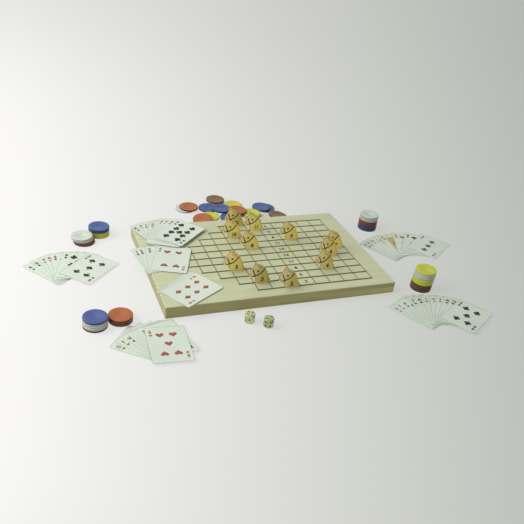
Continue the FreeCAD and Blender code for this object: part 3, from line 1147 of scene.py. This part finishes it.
@dataclass
class Horse:
    """One flat horse: its wood, and the marks burnt into both faces.

    The marks are drawn in millimetres from the base's front corner, the muzzle to the left.
    strokes are (share of the stroke's width, points of the line): the strap, the cheek, the
    mouth, three strokes of the mane and the ear. dots are (middle, radius): the strap's ring,
    the eye and the nostril. Numbers from two_digits on are narrower by squeeze. The tongue in
    the slot begins tongue_from below the board's surface.
    """

    number: int
    tint: float = 1.0
    half_base: float = 12.7 * MM
    tongue_from: float = 2.0 * MM
    grain_step: float = 0.37
    number_at: Pair = (11.1 * MM, 7.2 * MM)
    number_height: float = 8.4 * MM
    two_digits: int = 10
    squeeze: float = 0.85
    stroke: float = 2.4 * MM
    film: float = FILM
    strokes: tuple[tuple[float, tuple[Pair, ...]], ...] = (
        (1.0, ((-2.8, 14.9), (-0.2, 15.9), (2.9, 17.1), (5.8, 18.9), (8.2, 21.0), (11.4, 25.0),
               (13.3, 28.0))),
        (0.8, ((-8.2, 27.8), (-7.1, 24.8), (-5.8, 21.4), (-4.4, 18.0), (-3.2, 14.6))),
        (0.7, ((-10.2, 15.0), (-7.2, 14.5), (-3.6, 14.5))),
        (0.28, ((0.2, 35.4), (3.2, 31.6))),
        (0.28, ((3.8, 34.0), (6.6, 29.4))),
        (0.28, ((7.4, 32.0), (9.6, 27.4))),
        (0.28, ((-4.8, 35.6), (-4.0, 38.0))),
    )
    dots: tuple[tuple[Pair, float], ...] = (((-3.1, 14.9), 1.7), ((1.3, 24.0), 2.0), ((-11.3, 18.2), 0.8))

    @property
    def node(self) -> str:
        """The horse's CAD node, which is also its body."""
        return "horse_%d" % self.number

    def dress(self) -> None:
        """Gives the horse its own piece of wood."""
        low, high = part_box(self.node)
        centre = (high.x - self.half_base, (low.y + high.y) / 2, Board.surface())
        wood = CutoutWood("horse_wood_%d" % self.number, centre, self.number * self.grain_step, self.tint)
        dress(self.node, wood.material())

    def corner_x(self) -> float:
        """Where the base's front corner is: the furthest left of the points in the slot.

        Returns:
            Its X.
        """
        points = points_of(frame["nodes"][self.node].data)
        foot = points[points[:, 2] < Board.surface() - self.tongue_from]
        return float(foot[:, 0].min())

    def marks(self) -> list[Patch]:
        """The drawn lines and dots.

        Returns:
            One patch for each, in millimetres from the base's front corner.
        """
        width = self.stroke / MM
        lines = [ribbon(smooth(line), width * share) for share, line in self.strokes]
        return lines + [disc(middle, radius) for middle, radius in self.dots]

    def burn(self, glyphs: Glyphs, inks: Inks) -> None:
        """Lays the marks and the number on both faces, mirrored on the far one.

        Args:
            glyphs: the outlines of the numbers.
            inks: the material of each ink.
        """
        low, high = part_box(self.node)
        corner = self.corner_x()
        squeeze = 1.0 if self.number < self.two_digits else self.squeeze
        sheet = Sheet()
        for y, right in ((low.y, 1.0), (high.y, -1.0)):
            origin = np.array([corner, y, Board.surface()])
            plane = Plane(origin, np.array([right, 0, 0]), np.array([0, 0, 1.0]))
            for points, faces in self.marks():
                flat = points * MM * np.array([right, 1.0])
                outward = faces if right > 0 else [face[::-1] for face in faces]
                sheet.put(plane, (flat, outward), self.film, Ink.BURNT)
            at = (self.number_at[0] * right, self.number_at[1])
            glyphs.put(sheet, plane, str(self.number), at, self.number_height, Ink.BURNT, self.film,
                       squeeze=squeeze)
        sheet.build(self.node + "_marks", inks, self.node, "horse_wood")


# --------------------------------------------------------------------------- cards


STEM_POINTS = np.array([[-0.05, 0.05], [-0.06, -0.22], [-0.22, -0.5],
                        [0.22, -0.5], [0.06, -0.22], [0.05, 0.05]])
STEM = (STEM_POINTS, [(0, 1, 4, 5), (1, 2, 3, 4)])  # the flared foot of a spade or a club


class Suit(Enum):
    """The four suits, by their letter in a card's name."""

    HEART = "h"
    DIAMOND = "d"
    SPADE = "s"
    CLUB = "c"

    @property
    def ink(self) -> Ink:
        """The suit's ink."""
        return Ink.RED if self in (Suit.HEART, Suit.DIAMOND) else Ink.BLACK

    @staticmethod
    def heart(steps: int = 28) -> np.ndarray:
        """A heart's outline: (16 sin^3 t, 13 cos t - 5 cos 2t - 2 cos 3t - cos 4t + 2) / 34.

        Args:
            steps: how many points it has.

        Returns:
            Its points in rows, clockwise from the notch.
        """
        t = np.linspace(0, 2 * math.pi, steps, endpoint=False)
        height = 13 * np.cos(t) - 5 * np.cos(2 * t) - 2 * np.cos(3 * t) - np.cos(4 * t) + 2
        return np.stack([16 * np.sin(t) ** 3, height], 1) / 34

    @staticmethod
    def diamond(steps: int = 32) -> np.ndarray:
        """A diamond's outline, whose sides bow inwards a little.

        At the angle a the straight sides are 1 / (|cos a| / 0.40 + |sin a| / 0.52) from the
        middle, and the bow takes off a tenth of the squared sine of 2a.

        Args:
            steps: how many points it has.

        Returns:
            Its points in rows, counterclockwise.
        """
        a = np.linspace(0, 2 * math.pi, steps, endpoint=False)
        radius = 1 / (np.abs(np.cos(a)) / 0.40 + np.abs(np.sin(a)) / 0.52)
        bow = 1 - 0.10 * np.sin(2 * a) ** 2
        return circle(steps) * (radius * bow)[:, None]

    def shapes(self) -> list[Patch]:
        """The pip about one unit high.

        A spade is the heart upside down on a flared stem, and a club is three discs and a
        small one between them on the same stem.

        Returns:
            Its parts.
        """
        if self is Suit.HEART:
            return [fan(self.heart()[::-1])]
        if self is Suit.DIAMOND:
            return [fan(self.diamond())]
        if self is Suit.SPADE:
            return [fan(self.heart() * np.array([1.0, -0.82]) + np.array([0, 0.10])), STEM]
        lobes = [disc(middle, 0.235, 16) for middle in ((0, 0.27), (-0.235, -0.08), (0.235, -0.08))]
        return lobes + [disc((0, 0.05), 0.12, 10), STEM]


@dataclass
class Card:
    """One card's printing, in its own plane with its middle at the origin.

    The indices and small pips stand in two corners, the big pips in columns and rows. A court
    card has a plain ornament in place of a figure: a frame, two triangles that fill it to
    court_fill, and lozenges at lozenge_steps of the way up each half. Where they overlap,
    layers says how many films high each of the three lies.
    """

    rank: str
    suit: Suit
    index_at: Pair = (-24.0 * MM, 32.0 * MM)
    index_height: float = 7.8 * MM
    index_squeeze: float = 0.95
    ten_squeeze: float = 0.72
    small_pip_at: Pair = (-24.0 * MM, 23.2 * MM)
    small_pip: float = 6.0 * MM
    pip: float = 13.5 * MM
    ace_growth: float = 1.6
    column: float = 10.3 * MM
    wide_column: float = 12.2 * MM
    row: float = 22.3 * MM
    high_row: float = 26.6 * MM
    half_width: float = 31.5 * MM
    half_length: float = 44.0 * MM
    corner: float = 3.2 * MM
    corner_points: int = 6
    # Width of the band of painted shade just inside the card's edge.
    edge_line: float = 0.55 * MM
    court_frame: Pair = (19.0 * MM, 33.0 * MM)
    court_line: float = 0.5 * MM
    court_fill: float = 0.94
    lozenge: Pair = (2.2 * MM, 3.4 * MM)
    lozenge_steps: Triple = (0.22, 0.5, 0.78)
    lozenge_spread: Pair = (0.7, 0.86)
    layers: Triple = (1.0, 1.2, 1.6)
    film: float = FILM

    @property
    def spacing(self) -> Pair:
        """Distances of the pip columns and of the outer pip rows from the middle."""
        return (self.wide_column if self.rank in ("9", "10") else self.column,
                self.high_row if self.rank in ("7", "8", "9", "10") else self.row)

    def spots(self) -> list[Pair]:
        """Places of the big pips.

        Returns:
            Shares of the column's and the row's distance for each pip.
        """
        third = 1 / 3
        six = [(side, row) for row in (1, 0, -1) for side in (-1, 1)]
        eight = [(side, row) for row in (1, third, -third, -1) for side in (-1, 1)]
        layouts = {
            "A": [(0, 0)], "2": [(0, 1), (0, -1)], "3": [(0, 1), (0, 0), (0, -1)],
            "4": [(-1, 1), (1, 1), (-1, -1), (1, -1)],
            "5": [(-1, 1), (1, 1), (0, 0), (-1, -1), (1, -1)],
            "6": six, "7": six + [(0, 0.5)], "8": six + [(0, 0.5), (0, -0.5)],
            "9": eight + [(0, 0)], "10": eight + [(0, 2 * third), (0, -2 * third)],
        }
        return layouts.get(self.rank, [])

    def stamp(self, sheet: Sheet, plane: Plane, at: Pair, size: float, turned: bool) -> None:
        """Prints one pip.

        Args:
            sheet: the piece that it is added to.
            plane: the card's face.
            at: the place of its middle.
            size: its height.
            turned: whether it is upside down.
        """
        sign = -1.0 if turned else 1.0
        for points, faces in self.suit.shapes():
            placed = points * size * sign + np.array(at)
            sheet.put(plane, (placed, faces), self.film, self.suit.ink)

    def outline(self) -> np.ndarray:
        """A closed line just inside the card's rounded edge: a quarter turn at each corner.

        Returns:
            Its points in rows, the first one again at the end.
        """
        radius = self.corner - self.edge_line / 2
        quarter = np.linspace(0, math.pi / 2, self.corner_points)
        inset = np.array([self.half_width - self.corner, self.half_length - self.corner])
        parts = []
        for turn, side in enumerate(((1, 1), (-1, 1), (-1, -1), (1, -1))):
            angle = quarter + turn * math.pi / 2
            parts.append(inset * side + np.stack([np.cos(angle), np.sin(angle)], 1) * radius)
        return np.vstack(parts + [parts[0][:1]])

    def court(self, sheet: Sheet, plane: Plane) -> None:
        """Prints the two-way ornament of a court card.

        Args:
            sheet: the piece that it is added to.
            plane: the card's face.
        """
        x, y = self.court_frame
        first, second, third = (self.film * layer for layer in self.layers)
        corners = np.array([[-x, -y], [x, -y], [x, y], [-x, y], [-x, -y]])
        for ends in zip(corners, corners[1:]):
            sheet.put(plane, ribbon(np.array(ends), self.court_line), first, Ink.SKY)
        upper = np.array([[-x, -y], [x, y], [-x, y]]) * self.court_fill
        lower = np.array([[-x, -y], [x, -y], [x, y]]) * self.court_fill
        sheet.put(plane, (upper, [(0, 1, 2)]), first, Ink.OCHRE)
        sheet.put(plane, (lower, [(0, 1, 2)]), second, Ink.RED if self.suit.ink is Ink.RED else Ink.SKY)
        half, tall = self.lozenge
        lozenge = np.array([[0, tall], [-half, 0], [0, -tall], [half, 0]])
        across, along = self.lozenge_spread
        for side, ink in ((-1, Ink.OCHRE), (1, Ink.BLACK)):
            for step in self.lozenge_steps:
                at = np.array([-side * x * (1 - step) * across, side * y * step * along])
                sheet.put(plane, (lozenge + at, [(0, 1, 2, 3)]), third, ink)

    def print(self, sheet: Sheet, plane: Plane, glyphs: Glyphs) -> None:
        """Prints the two corner indices and the face.

        Args:
            sheet: the piece that they are added to.
            plane: the card's face.
            glyphs: the outlines of the ranks.
        """
        squeeze = self.ten_squeeze if self.rank == "10" else self.index_squeeze
        for sign, turned in ((1.0, False), (-1.0, True)):
            index_at = tuple(sign * place for place in self.index_at)
            pip_at = tuple(sign * place for place in self.small_pip_at)
            glyphs.put(sheet, plane, self.rank, index_at, self.index_height, self.suit.ink, self.film,
                       turned, squeeze)
            self.stamp(sheet, plane, pip_at, self.small_pip, turned)
        columns, rows = self.spacing
        size = self.pip * (self.ace_growth if self.rank == "A" else 1.0)
        for column, row in self.spots():
            self.stamp(sheet, plane, (column * columns, row * rows), size, row < 0)
        # Painted shade: a thin grey-green band just inside each card's edge, for the shadow along the
        # edges of the fanned cards.
        sheet.put(plane, ribbon(self.outline(), self.edge_line), self.film, Ink.EDGE)
        if self.rank in ("J", "Q", "K"):
            self.court(sheet, plane)


@dataclass
class Hand:
    """A fan of cards lying face up: card stock on the CAD cards, and their printing.

    up is the direction, in degrees, that the fan opens to, which tells a card's top from
    its foot. cards are named from the lowest to the highest, as rank and suit letter.
    """

    node: str
    up: float
    cards: str

    def planes(self) -> list[Plane]:
        """The face of each card, half a thickness above its middle.

        Returns:
            The faces from the lowest to the highest.
        """
        heading = np.array([math.cos(math.radians(self.up)), math.sin(math.radians(self.up)), 0])
        found = []
        for points in solids_of(self.node):
            centre, axes = principal(points)
            up = axes[0] if axes[0] @ heading > 0 else -axes[0]
            out = upright(axes[2])
            half = np.abs((points - centre) @ out).max()
            found.append((centre[2], Plane(centre + out * half, np.cross(up, out), up)))
        return [plane for _, plane in sorted(found, key=lambda item: item[0])]

    def build(self, stock: bpy.types.Material, glyphs: Glyphs, inks: Inks) -> None:
        """Dresses the cards and prints every face of the hand.

        Args:
            stock: the cards' material.
            glyphs: the outlines of the ranks.
            inks: the material of each ink.
        """
        dress(self.node, stock)
        sheet = Sheet()
        planes = self.planes()
        names = self.cards.split()
        if len(names) != len(planes):
            raise ValueError("%s holds %d cards, %d are named" % (self.node, len(planes), len(names)))
        for plane, name in zip(planes, names):
            Card(name[:-1].upper(), Suit(name[-1])).print(sheet, plane, glyphs)
        sheet.build(self.node + "_print", inks, self.node, "card_stock")


# --------------------------------------------------------------------------- chips


@dataclass
class ChipMould:
    """A moulded chip: reeded edge, raised rim ring, dished middle with a fine step.

    profile is the upper half of its section from the middle outwards, as (distance from the
    axis, drop below the rim ring) in millimetres. The reeds begin at reed_from and have
    their full depth reed_band further out. No ring is narrower than the radius pole.
    """

    thickness: float = 3.6 * MM
    profile: tuple[Pair, ...] = (
        (0.0, 0.50), (5.0, 0.50), (5.3, 0.38), (12.9, 0.38), (13.3, 0.30), (14.2, 0.06),
        (14.6, 0.01), (15.2, 0.0), (18.8, 0.0), (19.15, 0.06), (19.38, 0.20), (19.5, 0.45))
    teeth: int = 48
    tooth_depth: float = 0.22 * MM
    tooth_points: int = 4
    reed_from: float = 18.6 * MM
    reed_band: float = 0.9 * MM
    pole: float = 1e-5

    def section(self) -> np.ndarray:
        """The whole section from the middle of the upper face round to that of the lower.

        Returns:
            Distance from the axis and height above the chip's middle, in rows.
        """
        marks = np.array(self.profile) * MM
        upper = np.stack([marks[:, 0], self.thickness / 2 - marks[:, 1]], 1)
        half = np.vstack([upper, [upper[-1, 0], 0.0]])
        return np.vstack([half, half[-2::-1] * np.array([1, -1])])

    def surface(self, centre: np.ndarray, axis: np.ndarray,
                turn: float) -> tuple[np.ndarray, np.ndarray]:
        """Points and quads of one chip.

        The section is turned about the axis; the outer rings dip in by a cosine of the
        angle, once per tooth, which makes the reeded edge.

        Args:
            centre: the chip's middle.
            axis: its upward axis.
            turn: how far it is turned about the axis, in radians.

        Returns:
            The points ring by ring, and the quads as rows of four numbers.
        """
        section = self.section()
        steps = self.teeth * self.tooth_points
        angle = np.linspace(0, 2 * math.pi, steps, endpoint=False)
        reed = 0.5 - 0.5 * np.cos(angle * self.teeth)
        rim = np.clip((section[:, 0] - self.reed_from) / self.reed_band, 0, 1)
        radius = np.maximum(section[:, :1], self.pole) - rim[:, None] * reed[None, :] * self.tooth_depth
        # X, or Y where the axis lies nearly along X, gives the first side of the ring.
        side = np.cross(axis, [1.0, 0.0, 0.0] if abs(axis[0]) < 0.9 else [0.0, 1.0, 0.0])
        side /= np.linalg.norm(side)
        other = np.cross(axis, side)
        turned = angle + turn
        ring = np.cos(turned)[:, None] * side + np.sin(turned)[:, None] * other
        points = centre + radius[:, :, None] * ring[None] + section[:, 1][:, None, None] * axis
        grid = np.arange(len(section) * steps).reshape(len(section), steps)
        after = np.roll(grid, -1, axis=1)
        quads = np.stack([grid[:-1], grid[1:], after[1:], after[:-1]], -1).reshape(-1, 4)
        return points.reshape(-1, 3), quads


@dataclass
class ChipGroup:
    """The chips of one colour in one stack or pile.

    brown holds the numbers of the solids of a browner batch, counted from the left. Each
    chip is turned against its neighbours, by solid_turn and level_turn in radians, and edges
    sharper than crease degrees stay sharp.
    """

    node: str
    body: str
    colour: str
    mould: ChipMould
    brown: tuple[int, ...] = ()
    solid_turn: float = 1.7
    level_turn: float = 0.9
    crease: float = 40.0

    def chips_in(self, solid: np.ndarray) -> list[tuple[np.ndarray, np.ndarray]]:
        """The chips of a solid. Chips that lie flush are one solid, whose height tells how
        many there are.

        Args:
            solid: its points in rows.

        Returns:
            Centre and upward axis of every chip, from the lowest.
        """
        centre, axes = principal(solid)
        axis = upright(axes[2])
        along = (solid - centre) @ axis
        middle = centre + axis * (along.max() + along.min()) / 2
        count = round((along.max() - along.min()) / self.mould.thickness)
        levels = [level - (count - 1) / 2 for level in range(count)]
        return [(middle + axis * level * self.mould.thickness, axis) for level in levels]

    def build(self, materials: dict[str, bpy.types.Material]) -> None:
        """Models each chip where its CAD solid lies, and stands for that node.

        Args:
            materials: the plastic of each colour.
        """
        points, faces, batches, base = [], [], [], 0
        for number, solid in enumerate(solids_of(self.node)):
            for level, (centre, axis) in enumerate(self.chips_in(solid)):
                turn = number * self.solid_turn + level * self.level_turn + len(self.node)
                places, quads = self.mould.surface(centre, axis, turn)
                points.append(places)
                faces.append(quads + base)
                batches += [int(number in self.brown)] * len(quads)
                base += len(places)
        mesh = bpy.data.meshes.new(self.node + "_moulded")
        mesh.from_pydata(np.vstack(points).tolist(), [], np.vstack(faces).tolist())
        mesh.polygons.foreach_set("use_smooth", np.ones(len(mesh.polygons), bool))
        mesh.materials.append(materials[self.colour])
        if self.brown:
            mesh.materials.append(materials["brown"])
            mesh.polygons.foreach_set("material_index", np.array(batches, np.int32))
        mesh.update()
        mesh.set_sharp_from_angle(angle=math.radians(self.crease))
        piece = link(mesh, self.node + "_moulded")
        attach(piece, self.body)
        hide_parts(self.node)
        log.info("%s: %d faces on %s", piece.name, len(mesh.polygons), self.body)


# --------------------------------------------------------------------------- dice


@dataclass
class Die:
    """One die, turned about the vertical; its pips lie within pip_reach of a face's middle."""

    node: str
    turn: float
    tint: float
    pip_reach: float = 5.35 * MM

    def dress(self) -> None:
        """Gives the die its plastic, with the pips blacked."""
        low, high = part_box(self.node)
        plastic = DiePlastic(self.node + "_plastic", tuple((low + high) / 2), math.radians(self.turn),
                             (high.z - low.z) / 2, self.pip_reach, self.tint)
        dress(self.node, plastic.material())


# --------------------------------------------------------------------------- studio


@dataclass(frozen=True)
class Lamp:
    """A square soft lamp that looks at the middle of the set."""

    name: str
    place: Triple
    size: float
    power: float

    def build(self) -> None:
        """Hangs the lamp in its place."""
        light = bpy.data.lights.new(self.name, "AREA")
        light.shape = "SQUARE"
        light.size = self.size
        light.energy = self.power
        lamp = link(light, self.name)
        lamp.location = self.place
        lamp.rotation_euler = (-Vector(self.place)).to_track_quat("-Z", "Y").to_euler()


@dataclass
class Studio:
    """Table, soft lamps, sky and the camera.

    The lamps are a broad one from above and behind, one from the left and one from the
    front. The sky lights the set with sky_strength and is seen with seen_sky_strength. The
    table lies table_drop below the set. Angles are in degrees.
    """

    camera_place: Triple = (-0.44902, -1.00504, 0.64441)
    azimuth: float = 24.39
    elevation: float = 30.21
    roll: float = 7.59
    image_size: float = 524.0
    focal_pixels: float = 683.98
    sensor: float = 36.0
    clip: Pair = (0.01, 200.0)
    table_reach: float = 30.0
    table_drop: float = 0.0002
    lamps: tuple[Lamp, ...] = (
        Lamp("overhead", (-0.9, 0.72, 1.32), 1.5, 13.0),
        Lamp("side_fill", (-1.8, 0.1, 1.2), 1.4, 34.0),
        Lamp("front_fill", (0.2, -1.9, 0.9), 1.6, 7.4),
    )
    sky_colour: Triple = (236, 238, 236)
    sky_strength: float = 0.38
    seen_sky_strength: float = 0.7

    def view_turn(self) -> Matrix:
        """How the view is turned: first level with its heading and height, then rolled.

        Returns:
            The turn as a matrix of three rows.
        """
        a, e = math.radians(self.azimuth), math.radians(self.elevation)
        forward = Vector((math.sin(a) * math.cos(e), math.cos(a) * math.cos(e), -math.sin(e)))
        level = forward.to_track_quat("-Z", "Y").to_matrix()
        return level @ Matrix.Rotation(math.radians(self.roll), 3, "Z")

    def table(self) -> None:
        """A wide flat table top, which is no part of the set."""
        reach, drop = self.table_reach, self.table_drop
        corners = [(x * reach, y * reach, -drop) for x, y in ((-1, -1), (1, -1), (1, 1), (-1, 1))]
        mesh = bpy.data.meshes.new("table")
        mesh.from_pydata(corners, [], [(0, 1, 2, 3)])
        turn = self.view_turn()
        ahead, right = turn @ Vector((0, 0, -1)), turn @ Vector((1, 0, 0))
        mesh.materials.append(TableTop(self.camera_place, tuple(ahead), tuple(right)).material())
        link(mesh, "table")

    def sky(self) -> None:
        """A pale sky, brighter where the camera or a reflection sees it."""
        world = bpy.data.worlds.new("sky")
        bpy.context.scene.world = world
        world.use_nodes = True
        nodes, links = world.node_tree.nodes, world.node_tree.links
        lit, seen = nodes["Background"], nodes.new("ShaderNodeBackground")
        for background, strength in ((lit, self.sky_strength), (seen, self.seen_sky_strength)):
            background.inputs["Color"].default_value = linear(self.sky_colour)
            background.inputs["Strength"].default_value = strength
        path, either, both = (nodes.new(kind) for kind in
                              ("ShaderNodeLightPath", "ShaderNodeMath", "ShaderNodeMixShader"))
        either.operation = "MAXIMUM"
        links.new(path.outputs["Is Camera Ray"], either.inputs[0])
        links.new(path.outputs["Is Glossy Ray"], either.inputs[1])
        links.new(either.outputs[0], both.inputs[0])
        links.new(lit.outputs[0], both.inputs[1])
        links.new(seen.outputs[0], both.inputs[2])
        links.new(both.outputs[0], nodes["World Output"].inputs["Surface"])

    def camera(self) -> None:
        """Camera with the heading, height and roll of a hand-held view over the table."""
        data = bpy.data.cameras.new("camera")
        data.sensor_width = self.sensor
        data.lens = self.sensor * self.focal_pixels / self.image_size
        data.clip_start, data.clip_end = self.clip
        shot = link(data, "camera")
        shot.matrix_world = Matrix.Translation(Vector(self.camera_place)) @ self.view_turn().to_4x4()
        bpy.context.scene.camera = shot

    def build(self) -> None:
        """Sets up everything that isn't part of the set."""
        self.table()
        for lamp in self.lamps:
            lamp.build()
        self.sky()
        self.camera()
        bpy.context.scene.view_settings.view_transform = "Standard"


# --------------------------------------------------------------------------- the set


HORSE_TINTS = {2: 0.85, 3: 0.81, 4: 0.92, 5: 1.03, 6: 0.98, 7: 1.0, 8: 1.02, 9: 1.02, 10: 1.08,
               11: 1.02, 12: 0.92}
# The right die's tint of 0.91 is painted shade: it lies further right, where less light falls.
DICE = (Die("die_left", -27.0, 1.0), Die("die_right", -30.0, 0.91))
HANDS = (
    Hand("cards_far_left", 86.0, "4s 10c 9h 8d 6c 8c 5s"),
    Hand("cards_front_left", 115.0, "10h 7h 10s 4c kd qh 9d 3c 5h"),
    Hand("cards_far_right", 77.0, "7c 9s qd jd kh 8h 8s 3s"),
    Hand("cards_front_right", 76.0, "3d 7d 6s 7s ac jh 10d 3h as qc 5c"),
    Hand("cards_board_back", 77.0, "ks ah js 2h 5d 6h ad 4d 9c"),
    Hand("cards_board_middle", 84.0, "jc 2c 2s 4h"),
    Hand("cards_board_front", 35.0, "qs kc 2d 6d"),
)
# For each colour: the face, a darker tone, and the factor on that tone for the painted shade on the edge.
CHIP_COLOURS = {
    "red": ((173, 100, 60), (152, 84, 50), 0.40),
    "blue": ((77, 94, 147), (61, 76, 121), 0.62),
    "yellow": ((194, 200, 66), (176, 180, 54), 0.92),
    "white": ((200, 207, 197), (186, 194, 184), 0.80),
    "brown": ((124, 96, 64), (104, 80, 52), 0.5),
}
BROWN_CHIPS = {"chips_pile_red": (2,), "chips_pile_right_red": (0,), "chips_front_right_red": (0, 1, 2, 3)}


def main() -> None:
    """Builds the classes in order."""
    Studio().build()
    glyphs = Glyphs()
    inks = {ink: PrintedInk(ink).material() for ink in Ink}
    board = Board()
    board.dress()
    board.print_top(glyphs, inks)
    for number, tint in HORSE_TINTS.items():
        horse = Horse(number, tint)
        horse.dress()
        horse.burn(glyphs, inks)
    for die in DICE:
        die.dress()
    stock = CardStock("card_stock").material()
    for hand in HANDS:
        hand.build(stock, glyphs, inks)
    plastics = {name: MouldedChip("chip_" + name, *look).material() for name, look in CHIP_COLOURS.items()}
    mould = ChipMould()
    for body, nodes in frame["record"]["behaviour"]["bodies"].items():
        for node in nodes:
            if node.startswith("chips_"):
                colour = node.rsplit("_", 1)[1]
                ChipGroup(node, body, colour, mould, BROWN_CHIPS.get(node, ())).build(plastics)


if __name__ == "__main__":
    main()
